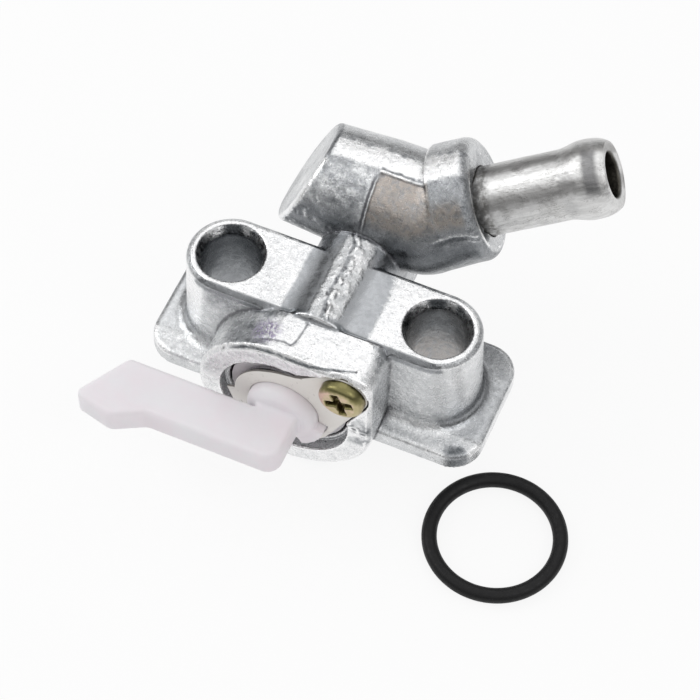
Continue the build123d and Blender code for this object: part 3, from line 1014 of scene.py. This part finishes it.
    def paint_front(self, s: Skin) -> tuple[Array, Array]:
        """Paints the flange, the ears and the chamber.

        Args:
            s: the casting's skin.

        Returns:
            The shares of the flange and of the flat tops.
        """
        x, y, z = s.place.T
        nz = s.facing[:, 2]
        low = step(z, *self.flange[::-1])
        s.paint(low * step(nz, 0.6, 0.9), np.where(x < -8, 0.58, 0.54), 0.7)
        s.paint(low * step(nz, 0.5, 0.2), 0.88, 0.5)
        ear = step(np.abs(x), 7.0, 8.0) * step(np.abs(y), *self.ear_half) * step(z, *self.flange)
        # Painted light and shade on the ears' sides: darker at the foot, lighter higher up, and the
        # left ear lighter than the right.
        ear_painted_light = 0.44 * step(z + 1.6 * s.drift, 4.0, 8.0)
        s.paint(ear, np.where(x < 0, 0.54, 0.38) + ear_painted_light + 0.10 * s.drift, 0.65)
        chamber = step(y, *self.chamber_back)
        s.paint(chamber, 0.76, 0.3)
        s.paint(chamber * step(z, 2.0, -2.0), 0.66, 0.5)
        s.paint(chamber * step(x, -4.2, -5.4) * step(z, 14.0, 16.0), 0.52 + 0.25 * s.drift, 0.1)
        face = step(y, *self.chamber_face)
        s.paint(face, 0.90, 0.4)
        # Painted light and shade on the folded skin: bright and dark patches that stand in for its
        # lit and shaded folds.
        folds = 0.66 + 0.75 * layered_noise(s.place, 1.3, 101.0)
        s.paint(face * self.crumpled(s.place), folds, 0.5)
        lip = step(z, 18.2, 18.5) * step(np.abs(y), *self.ear_half)
        s.paint(lip * step(nz, 0.95, 0.8), 0.56, 0.4)
        deck = step(nz, 0.93, 0.98) * step(z, *self.deck)
        ears = step(z, 19.6, 19.4)
        flat = deck * np.maximum(step(z, 20.2, 19.9) * step(x, -5.2, -4.4), ears)
        s.paint(flat, 0.94 + 0.10 * s.drift, 0.35)
        return low, flat

    def paint_rib(self, s: Skin) -> tuple[Array, Array]:
        """Paints the rib, its worn top and its front end.

        Args:
            s: the casting's skin.

        Returns:
            The shares of the rib and of its top.
        """
        x, y, z = s.place.T
        ny, nz = s.facing[:, 1], s.facing[:, 2]
        wide = self.rib_half + np.clip((8.4 - y) / 5.8, 0, 1) * self.rib_spread * step(x, 0.0, 1.0)
        rib = step(np.abs(x - self.rib_x), wide + 0.15, wide - 0.15)
        rib = rib * step(y, -6.8, -6.4) * step(y, 11.0, 10.0) * step(z, 3.0, 4.0)
        s.paint(rib, np.where(x < 0.8, 0.34, 0.38) + 0.06 * s.drift, 0.9)
        crown = rib * near(x - 0.7 + 0.4 * s.fine, 2.7, 2.1) * step(z, 17.5, 18.5)
        s.paint(crown, 0.74 + 0.22 * s.fine, 0.2)
        crack = off_line(x, y, self.crown_line) + 0.8 - 0.35 * s.fine
        s.paint(crown * near(crack, 0.3, 0.1), 0.25, 0.5)
        groove = step(y, -5.9, -6.2) * step(y, -7.6, -7.2) * step(z, 17.2, 17.8)
        s.paint(groove * step(nz, 0.999, 0.99), 0.34, 0.7)
        # A painted highlight where the rib's rounded front end faces forward, and painted shade on
        # the rest of it.
        lit_and_shaded_brow = rib * step(y, -5.2, -5.8) * step(nz, 0.98, 0.92)
        s.paint(lit_and_shaded_brow, np.where(ny < -0.75, 1.0, 0.16), 0.9)
        return rib, crown

    def paint_block(self, s: Skin, block: Array) -> Array:
        """Paints the outlet block and its collar.

        Args:
            s: the casting's skin.
            block: the share of the outlet block.

        Returns:
            The share of the panel that the die's seam borders.
        """
        x = s.place[:, 0]
        nx = s.facing[:, 0]
        angle, along = self.around(s.place)
        s.paint(block, 0.52 + 0.34 * s.fine, 0.0)
        # Painted shade on the block's lower front and underside.
        s.paint(block * step(angle, 56.0, 74.0), 0.26, 0.8)
        # A painted highlight band along the block's top.
        band = step(angle + 4.0 * s.fine, -16.0, -12.0)
        band = band * step(angle + 3.0 * s.fine, self.parting, self.parting - 3.0)
        s.paint(block * band * step(along, 9.6, 8.6), 0.96, 0.35)
        s.paint(block * step(angle, -15.0, -20.0) * step(angle, -75.0, -60.0), 0.66, 0.6)
        end = block * step(x, -6.0, -8.0)
        s.paint(end * step(nx, -0.75, -0.88), 0.64 + 0.34 * s.drift, 0.5)
        # The rounded edge round the block's end: worn bright and painted as a highlight where it
        # turns to the front, with painted shade towards the top.
        worn = end * step(nx, -0.06, -0.20) * step(nx, -0.88, -0.80)
        s.paint(worn * step(angle, 10.0, 18.0), 1.0, 0.6)
        s.paint(worn * step(angle, 18.0, 10.0), 0.24, 0.6)
        collar = block * step(along, 3.5, 4.2) * step(angle, 9.0, 14.0) * step(angle, 92.0, 78.0)
        s.paint(collar, 0.40 - 0.12 * step(along, 7.5, 9.2) + 0.12 * s.fine, 0.2)
        sunk = step(along, 9.0, 8.0) * step(angle, 30.0, 42.0) * step(angle, 70.0, 58.0)
        panel = np.maximum(self.recess(s.place, angle, along), collar * sunk)
        s.paint(panel, 0.43 - 0.08 * step(angle, 52.0, 72.0) + 0.10 * s.fine, 0.45)
        return panel

    def paint_ridges(self, s: Skin, block: Array) -> None:
        """Paints the parting line, the collar's riser and the low ridge, in painted shade and
        painted highlights.

        Args:
            s: the casting's skin.
            block: the share of the outlet block.
        """
        angle, along = self.around(s.place)
        right = block * step(s.place[:, 0], -0.2, 0.2) * step(along, self.collar, self.collar - 0.6)
        crinkle = angle - self.parting - self.crinkle * s.fine
        # Painted shade in the groove above the parting line, and a painted highlight on its ridge.
        s.paint(right * near(crinkle + 2.6, 1.8, 0.6), 0.22 + 0.2 * s.fine, 0.4)
        s.paint(right * near(crinkle - 0.2, 1.0, 0.3), 0.80 + 0.2 * s.fine, 0.4)
        # A painted highlight on the collar's riser.
        riser = step(angle, 6.0, 12.0) * step(angle, 34.0, 26.0)
        s.paint(block * near(along - self.collar, 0.45, 0.2) * riser, 0.95, 0.5)
        ridge = off_line(angle, along, self.low_ridge)
        reach = block * step(along, 1.8, 4.0) * step(along, 8.6, 7.4)
        # A painted highlight on the low ridge, and painted shade in the groove below it.
        s.paint(reach * near(ridge - 1.5 * s.fine, 2.6, 0.6), 0.62, 0.2)
        s.paint(reach * near(ridge - 5.0, 3.4, 1.6), 0.20, 0.4)

    def paint_seat(self, s: Skin, block: Array) -> None:
        """Paints the collar's face and the seat of the hose tail: painted shade on the face and in
        the groove, and a painted highlight on the collar's lip.

        Args:
            s: the casting's skin.
            block: the share of the outlet block.
        """
        angle = self.around(s.place)[0]
        along, radial = self.tail_axis(s.place)
        # Painted shade on the collar's face round the tube.
        dark = step(along, 8.6, 9.4) * step(radial, 9.2, 8.2) * step(angle, 6.0, 14.0)
        s.paint(block * dark, 0.30, 0.3)
        # A painted highlight on the collar's inner lip.
        bright = step(along, 9.6, 9.8) * step(radial, self.ring + 0.75, self.ring + 0.45)
        s.paint(block * bright, 0.92, 0.6)
        # Painted shade in the groove round the tube.
        seat = step(along, 8.2, 8.6) * step(radial, self.ring + 0.05, self.ring - 0.1)
        s.paint(block * seat, 0.10 + 0.16 * s.fine, 0.1)
        rim = step(along, 8.6, 9.2) * step(radial, self.ring + 0.8, self.ring + 0.5)
        s.paint(block * rim * self.flush(angle), 0.62 + 0.1 * s.fine, 0.5)

    def paint_lines(self, s: Skin) -> None:
        """Paints the scribed line, the hem and the streaks on the chamber's top.

        Args:
            s: the casting's skin.
        """
        x, y, z = s.place.T
        scribed = line_distance(s.place[:, :2], self.pad_line)
        roof = step(s.facing[:, 2], 0.80, 0.9) * step(y, -6.6, -7.2) * step(z, 15.0, 17.0)
        s.paint(roof * step(scribed, 0.22, 0.06) * step(s.fine, -0.8, 0.2), 0.34, 0.3)
        hem = line_distance(s.place[:, :2], self.hem_line) + 9 * step(z, 11.0, 9.0)
        hem = step(hem - 0.20 * s.fine, 0.22, 0.06) * step(x, -11.5, -9.0)
        s.paint(hem, 0.12 + 0.4 * np.maximum(s.drift, 0), 0.2)
        streaks = value_noise(s.place * (0.35, 1.6, 1.0), 0.9, 61.0)
        s.paint(roof * step(x, -4.4, -5.6) * step(streaks, 0.0, 0.5), 0.30, 0.1)

    def paint_holes(self, s: Skin) -> tuple[Array, Array]:
        """Paints the bolt holes: bright cones with painted shade towards the back and the left, and
        bores darkened as painted shade, lighter lower down.

        Args:
            s: the casting's skin.

        Returns:
            The shares of the whole holes and of their bores.
        """
        x, y, z = s.place.T
        off = np.hypot(np.abs(x) - self.ear_x, y)
        inside = step(off, self.entry + 0.15, self.entry - 0.05)
        inside = inside * step(z, self.ear_top, self.ear_top - 0.2)
        s.paint(inside, 1.0, 0.8)
        turn = np.degrees(np.arctan2(y, x - np.sign(x) * self.ear_x)) + 6.0 * s.fine
        # Painted shade on the cones towards the back and the left.
        cone_shade = np.maximum(near(turn - 112.0, 24.0, 10.0), 0.7 * near(turn - 70.0, 13.0, 4.0))
        cone_shade = np.maximum(cone_shade, 0.6 * step(np.abs(turn), 158.0, 172.0))
        s.paint(inside * cone_shade, 0.12, 0.6)
        # Painted shade in the bores, lighter lower down.
        bore = inside * step(s.facing[:, 2], 0.35, 0.15)
        deep = np.where(x < 0, 0.17, 0.22) * step(z, 14.0, 5.0)
        s.paint(bore, 0.17 + deep + 0.06 * s.drift, 0.9)
        return inside, bore

    def tones(self, mesh: Mesh) -> dict[str, Array]:
        """Returns what the casting's finish reads from the mesh.

        Args:
            mesh: the finished mesh.

        Returns:
            One number for each vertex, by name: its tone with its painted light and shade, its
                calm, scuff, warm and violet, the painted shade and grime of its creases, and the
                share of the seam.
        """
        s = Skin(mesh)
        x, y, z = s.place.T
        angle, along = self.around(s.place)
        block = self.on_block(s.place)
        low, flat = self.paint_front(s)
        rib, crown = self.paint_rib(s)
        panel = self.paint_block(s, block)
        self.paint_ridges(s, block)
        self.paint_seat(s, block)
        self.paint_lines(s)
        inside, bore = self.paint_holes(s)
        blot = step(np.hypot(0.7 * (x - 24.8), y + 9.9) + 0.5 * s.fine, 1.9, 0.7) * low
        s.paint(blot, 0.14, 0.4)
        mouth = step(y, -11.8, -12.1) * step(s.facing[:, 1], -0.9, -0.6)
        mouth *= step(np.hypot(x - self.valve[0], z - self.valve[1]), 11.2, 10.9)
        s.paint(mouth, 0.74, 0.7)
        # Where the painted shade and grime of creases is held back: the mouth, the holes and the
        # rib's front end.
        clean_and_unshaded = np.maximum(np.maximum(0.75 * mouth, inside), step(y, -4.8, -5.4) * rib)
        joint = block * near(along - self.collar, 1.0, 0.6) * step(angle, 14.0, 22.0)
        return {
            "tone": s.tone,
            "calm": s.calm,
            "scuff": np.maximum(flat * (1 - rib), 0.6 * crown),
            "warm": np.maximum(0.9 * panel * step(angle, 70.0, 56.0),
                               0.5 * bore * step(z, 14.0, 7.0) * step(x, 0.0, 1.0)),
            "violet": step(np.hypot(x + 6.2, y + 10.6), 3.0, 1.0) * step(z, 16.6, 17.6),
            "crease_shade_and_grime": (1 - clean_and_unshaded) * (1 - 0.9 * joint),
            "seam": block * step(angle, 16.0, 24.0) * step(angle, 80.0, 62.0),
        }

    def build(self, material: Material) -> Object:
        """Builds and dresses the casting.

        Args:
            material: its finish.

        Returns:
            The piece.
        """
        piece = new_object("die_cast_body", mesh_from(merged_copy("tap_body"), "die_cast_body"))
        voxelled(piece, self.voxel * MM)
        raise_surface(piece.data, self.heights(piece.data))
        self.fill_seat(piece.data)
        kept_above(piece.data, CAD_BOX[0][2])
        thinned(piece, self.triangles)
        store_bends(piece.data)
        for name, number in self.tones(piece.data).items():
            store(piece.data, name, number)
        shade_smooth(piece.data)
        dress(piece, material, Body.TAP, "tap_body")
        return piece


@dataclass
class HoseTail:
    """The steel hose tail, turned about the outlet's axis. Millimetres and degrees."""

    bend: Vec = BEND
    azimuth: float = TAIL_AZIMUTH
    rise: float = TAIL_RISE
    start: float = 3.0
    chamfer: float = 0.3
    end: float = 30.3
    radius: float = 5.45
    bore: float = 3.4
    flare: Pair = (22.4, 26.2)
    bead: float = 6.14
    nose_start: float = 26.9
    nose_turn: float = 62.0
    face_radius: float = 5.15
    lip: float = 0.30
    turns: int = 128
    rings: int = 20

    def profile(self) -> list[Pair]:
        """Returns the section's points as distance along the axis and radius."""
        front = self.start + self.chamfer
        points = [(self.start, self.bore), (self.start, self.radius - self.chamfer),
                  (front, self.radius)]
        low, high = self.flare
        count = self.rings
        run = low - self.start - self.chamfer
        points += [(front + run * k / count, self.radius) for k in range(1, count)]
        for k in range(count + 1):
            share = k / count
            swell = (self.bead - self.radius) * (3 - 2 * share) * share**2
            points.append((low + (high - low) * share, self.radius + swell))
        turn = math.radians(self.nose_turn)
        length = (self.end - self.nose_start) / math.sin(turn)
        drop = (self.bead - self.face_radius) / (1 - math.cos(turn))
        for k in range(count + 1):
            share = turn * k / count
            points.append((self.nose_start + length * math.sin(share),
                           self.bead - drop * (1 - math.cos(share))))
        mouth = self.end - 0.10
        points += [(self.end - 0.04, self.face_radius - 0.10), (mouth, self.bore + 2 * self.lip)]
        for k in range(1, 7):
            share = math.radians(15 * k)
            points.append((mouth - 2 * self.lip * (1 - math.cos(share)),
                           self.bore + 2 * self.lip * (1 - math.sin(share))))
        return points

    def build(self, material: Material) -> Object:
        """Builds and dresses the hose tail."""
        form = bmesh.new()
        ring = [form.verts.new((distance, radius, 0)) for distance, radius in self.profile()]
        for a, b in zip(ring, ring[1:] + ring[:1]):
            form.edges.new((a, b))
        bmesh.ops.spin(form, geom=form.verts[:] + form.edges[:], cent=(0, 0, 0), axis=(1, 0, 0),
                       angle=2 * math.pi, steps=self.turns, use_merge=True)
        place = (Matrix.Translation(self.bend) @ Matrix.Rotation(math.radians(self.azimuth), 4, "Z")
                 @ Matrix.Rotation(-math.radians(self.rise), 4, "Y"))
        bmesh.ops.transform(form, matrix=Matrix.Scale(MM, 4) @ place, verts=form.verts)
        bmesh.ops.recalc_face_normals(form, faces=form.faces)
        piece = new_object("steel_hose_tail", mesh_from(form, "steel_hose_tail"))
        dent = 0.05 * layered_noise(positions(piece.data) / MM, 4.0, 3.0)
        raise_surface(piece.data, dent - 0.05)
        smooth_by_angle(piece.data, 35.0)
        dress(piece, material, Body.TAP, "hose_tail")
        return piece


@dataclass
class Retainer:
    """The plate that holds the lever in, and its screw. Millimetres."""

    plate_edge: float = 0.14
    sheet: float = 0.5
    valve: Pair = VALVE
    neck_turn: float = 115.4
    neck_out: float = 7.9
    neck_middle: float = 6.2
    neck_width: float = 2.6
    neck_dip: float = 1.0
    neck_cut: float = 4.0
    neck_cuts: int = 12
    screw_voxel: float = 0.09
    screw_place: Pair = (7.795, 15.09)
    cross_turn: float = 20.0
    cross_half: float = 0.62
    cross_reach: float = 2.25
    cross_floor: float = -14.8
    head_back: float = -14.9
    screw_triangles: int = 60000

    def plate(self, material: Material) -> Object:
        """Builds and dresses the plate, stamped with soft edges."""
        form = merged_copy("retainer_plate")
        bmesh.ops.dissolve_limit(form, angle_limit=math.radians(2.0), verts=form.verts,
                                 edges=form.edges)
        long = [edge for edge in form.edges if edge.calc_length() > self.neck_cut * MM]
        bmesh.ops.subdivide_edges(form, edges=long, cuts=self.neck_cuts)
        front = min(vert.co.y for vert in form.verts)
        turn = math.radians(self.neck_turn)
        for vert in form.verts:
            if vert.co.y > front + self.sheet * MM:
                vert.co.y = front + self.sheet * MM
            right = vert.co.x / MM - self.valve[0]
            up = vert.co.z / MM - self.valve[1]
            out = right * math.cos(turn) + up * math.sin(turn)
            along = right * math.sin(turn) - up * math.cos(turn)
            if out > self.neck_out:
                dip = self.neck_dip * math.exp(-((along - self.neck_middle) / self.neck_width) ** 2)
                vert.co.x -= dip * math.cos(turn) * MM
                vert.co.z -= dip * math.sin(turn) * MM
        rim = [edge for edge in form.edges
               if len(edge.link_faces) == 2 and edge.calc_face_angle() > math.radians(40.0)]
        bmesh.ops.bevel(form, geom=rim, offset=self.plate_edge * MM, offset_type="OFFSET",
                        segments=3, profile=0.5, affect="EDGES", clamp_overlap=True, material=-1)
        piece = new_object("stamped_plate", mesh_from(form, "stamped_plate"))
        smooth_by_angle(piece.data, 30.0)
        dress(piece, material, Body.TAP, "retainer_plate")
        return piece

    def screw(self, material: Material) -> Object:
        """Builds and dresses the screw, its head and recess rounded as a plated one's."""
        piece = new_object("plated_screw", mesh_from(merged_copy("retainer_screw"), "plated_screw"))
        voxelled(piece, self.screw_voxel * MM)
        place = positions(piece.data) / MM
        turn = math.radians(self.cross_turn)
        right = place[:, 0] - self.screw_place[0]
        up = place[:, 2] - self.screw_place[1]
        a = np.abs(right * math.cos(turn) + up * math.sin(turn))
        b = np.abs(up * math.cos(turn) - right * math.sin(turn))
        worn = 0.10 * value_noise(place, 0.7, 5.0)
        narrow = step(np.minimum(a, b) + worn, self.cross_half + 0.1, self.cross_half - 0.1)
        cross = narrow * step(np.maximum(a, b), self.cross_reach + 0.15, self.cross_reach - 0.15)
        head = step(place[:, 1], self.head_back, self.head_back - 0.2)
        sunk = np.minimum(place[:, 1], self.head_back) * (1 - cross * head)
        sunk = sunk + self.cross_floor * cross * head
        place[:, 1] = np.where(head > 0, np.maximum(place[:, 1], sunk), place[:, 1])
        piece.data.vertices.foreach_set("co", (place * MM).ravel())
        store(piece.data, "cross", cross * head)
        thinned(piece, self.screw_triangles)
        shade_smooth(piece.data)
        dress(piece, material, Body.TAP, "retainer_screw")
        return piece


@dataclass
class MouldedLever:
    """The nylon lever, with the soft edges of a moulding."""

    voxel: float = 0.2
    triangles: int = 90000

    def build(self, material: Material) -> Object:
        """Builds and dresses the lever."""
        piece = new_object("nylon_lever", mesh_from(merged_copy("lever"), "nylon_lever"))
        voxelled(piece, self.voxel * MM)
        thinned(piece, self.triangles)
        shade_smooth(piece.data)
        dress(piece, material, Body.LEVER, "lever")
        return piece


@dataclass
class SealingRing:
    """The rubber ring that lies beside the tap."""

    turns: int = 160
    sides: int = 40

    def build(self, material: Material) -> Object:
        """Builds and dresses the ring."""
        low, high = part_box("sealing_ring")
        centre = (low + high) / 2
        section = (high.z - low.z) / 2
        reach = (high.x - low.x) / 2 - section
        form = bmesh.new()
        bmesh.ops.create_circle(form, segments=self.sides, radius=section,
                                matrix=Matrix.Translation(centre + Vector((reach, 0, 0)))
                                @ Matrix.Rotation(math.pi / 2, 4, "X"))
        bmesh.ops.spin(form, geom=form.verts[:] + form.edges[:], cent=centre, axis=(0, 0, 1),
                       angle=2 * math.pi, steps=self.turns, use_merge=True)
        bmesh.ops.recalc_face_normals(form, faces=form.faces)
        piece = new_object("rubber_ring", mesh_from(form, "rubber_ring"))
        shade_smooth(piece.data)
        dress(piece, material, Body.TAP, "sealing_ring")
        return piece


@dataclass
class PhotoCamera:
    """The camera at the photograph's viewing angle. Angles in radians, lengths in millimetres."""

    azimuth: float = 0.3963
    elevation: float = 1.0013
    roll: float = -0.0175
    distance: float = 394.2
    aim: Vec = (0.0, 0.0, 8.0)
    aim_right: float = -2.554
    aim_down: float = -2.944
    focal_pixels: float = 2557.3
    picture_pixels: float = 700.0
    sensor: float = 36.0

    def build(self) -> None:
        """Builds the camera and makes it the scene's own."""
        away = Vector((math.cos(self.elevation) * math.sin(self.azimuth),
                       -math.cos(self.elevation) * math.cos(self.azimuth),
                       math.sin(self.elevation)))
        forward = -away
        level = Vector((math.cos(self.azimuth), math.sin(self.azimuth), 0))
        down = forward.cross(level)
        right = math.cos(self.roll) * level + math.sin(self.roll) * down
        low = -math.sin(self.roll) * level + math.cos(self.roll) * down
        aside = self.aim_right * right + self.aim_down * low
        place = Vector(self.aim) - (aside + self.distance * forward)
        turn = Matrix((right, -low, -forward)).transposed()
        data = bpy.data.cameras.new("photo_camera")
        data.sensor_width = self.sensor
        data.sensor_height = self.sensor
        data.sensor_fit = "HORIZONTAL"
        data.lens = self.sensor * self.focal_pixels / self.picture_pixels
        data.clip_start = 0.01
        camera = bpy.data.objects.new("photo_camera", data)
        camera.matrix_world = Matrix.Translation(place * MM) @ turn.to_4x4()
        bpy.context.scene.collection.objects.link(camera)
        bpy.context.scene.camera = camera


@dataclass
class Studio:
    """White floor, white surroundings and soft lamps."""

    floor_half: float = 3.0
    floor_shade: float = 0.12
    floor_colour: Colour = (0.95, 0.95, 0.95)
    world_strength: float = 0.62
    horizon: Pair = (0.36, 0.62)
    horizon_shade: float = 0.16
    lamps: list[tuple[str, Vec, float, float]] = field(default_factory=lambda: [
        ("key", (-0.60, -0.08, 0.42), 0.35, 1.2),
        ("back", (-0.12, 0.42, 0.60), 0.45, 0.40),
        ("fill", (0.45, -0.10, 0.50), 0.30, 0.5),
    ])

    def floor(self, height: float) -> None:
        """Builds the floor, white to the camera, which still takes the object's shadow.

        Args:
            height: the floor's Z, in metres.
        """
        form = bmesh.new()
        bmesh.ops.create_grid(form, x_segments=1, y_segments=1, size=self.floor_half,
                              matrix=Matrix.Translation((0, 0, height)))
        piece = new_object("studio_floor", mesh_from(form, "studio_floor"))
        g = FinishGraph("studio_floor")
        g.tree.nodes.remove(g.shader)
        diffuse = g.add("BsdfDiffuse", {"Color": self.floor_colour})
        glow = g.add("Emission", {"Color": WHITE})
        share = g.product(g.seen(), 1 - self.floor_shade)
        g.fill(g.output, {"Surface": g.blend(share, diffuse, glow)})
        piece.data.materials.append(g.material)

    def surroundings(self) -> None:
        """Sets the world: white to the eye and in reflections, softer as a light."""
        world = bpy.data.worlds.new("studio_world")
        world.use_nodes = True
        bpy.context.scene.world = world
        g = Graph(world.node_tree)
        back = g.fill(g.tree.nodes["Background"], {"Color": WHITE, "Strength": self.world_strength})
        height = g.parts(g.add("TexCoord").outputs["Generated"])[2]
        walls = g.band(height, *self.horizon, self.horizon_shade)
        shown = g.maths("MAXIMUM", g.add("LightPath").outputs["Is Camera Ray"], walls)
        white = g.add("Background", {"Color": WHITE, "Strength": shown})
        g.fill(g.tree.nodes["World Output"], {"Surface": g.blend(g.seen(), back, white)})

    def light(self) -> None:
        """Builds the lamps, each aimed at the tap."""
        for name, place, size, power in self.lamps:
            data = bpy.data.lights.new(name, "AREA")
            data.shape = "SQUARE"
            data.size = size
            data.energy = power
            lamp = bpy.data.objects.new(name, data)
            lamp.location = place
            lamp.rotation_euler = Vector(place).to_track_quat("Z", "Y").to_euler()
            bpy.context.scene.collection.objects.link(lamp)

    def build(self) -> None:
        """Builds the floor, the world and the lamps."""
        self.floor(CAD_BOX[0][2])
        self.surroundings()
        self.light()
        bpy.context.scene.view_settings.view_transform = "Standard"


def dress_node(node: str, material: Material) -> None:
    """Gives a CAD node that stays a better material."""
    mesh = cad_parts[node].data
    mesh.materials.clear()
    mesh.materials.append(material)
    log.info("%s: dressed as modelled", node)


def main() -> None:
    """Builds the camera, the studio and every piece of the tap."""
    PhotoCamera().build()
    Studio().build()
    TapCasting().build(DieCast().build())
    MouldedLever().build(Nylon().build())
    SealingRing().build(Rubber(name="ring_rubber").build())
    HoseTail().build(TurnedSteel().build())
    retainer = Retainer()
    retainer.plate(CreamPlate().build())
    retainer.screw(YellowZinc().build())
    dress_node("spring_washer", SpringSteel().build())
    dress_node("port_gasket", Rubber(name="gasket_rubber", rough=0.6).build())


if __name__ == "__main__":
    logging.basicConfig(level=logging.INFO)
    main()
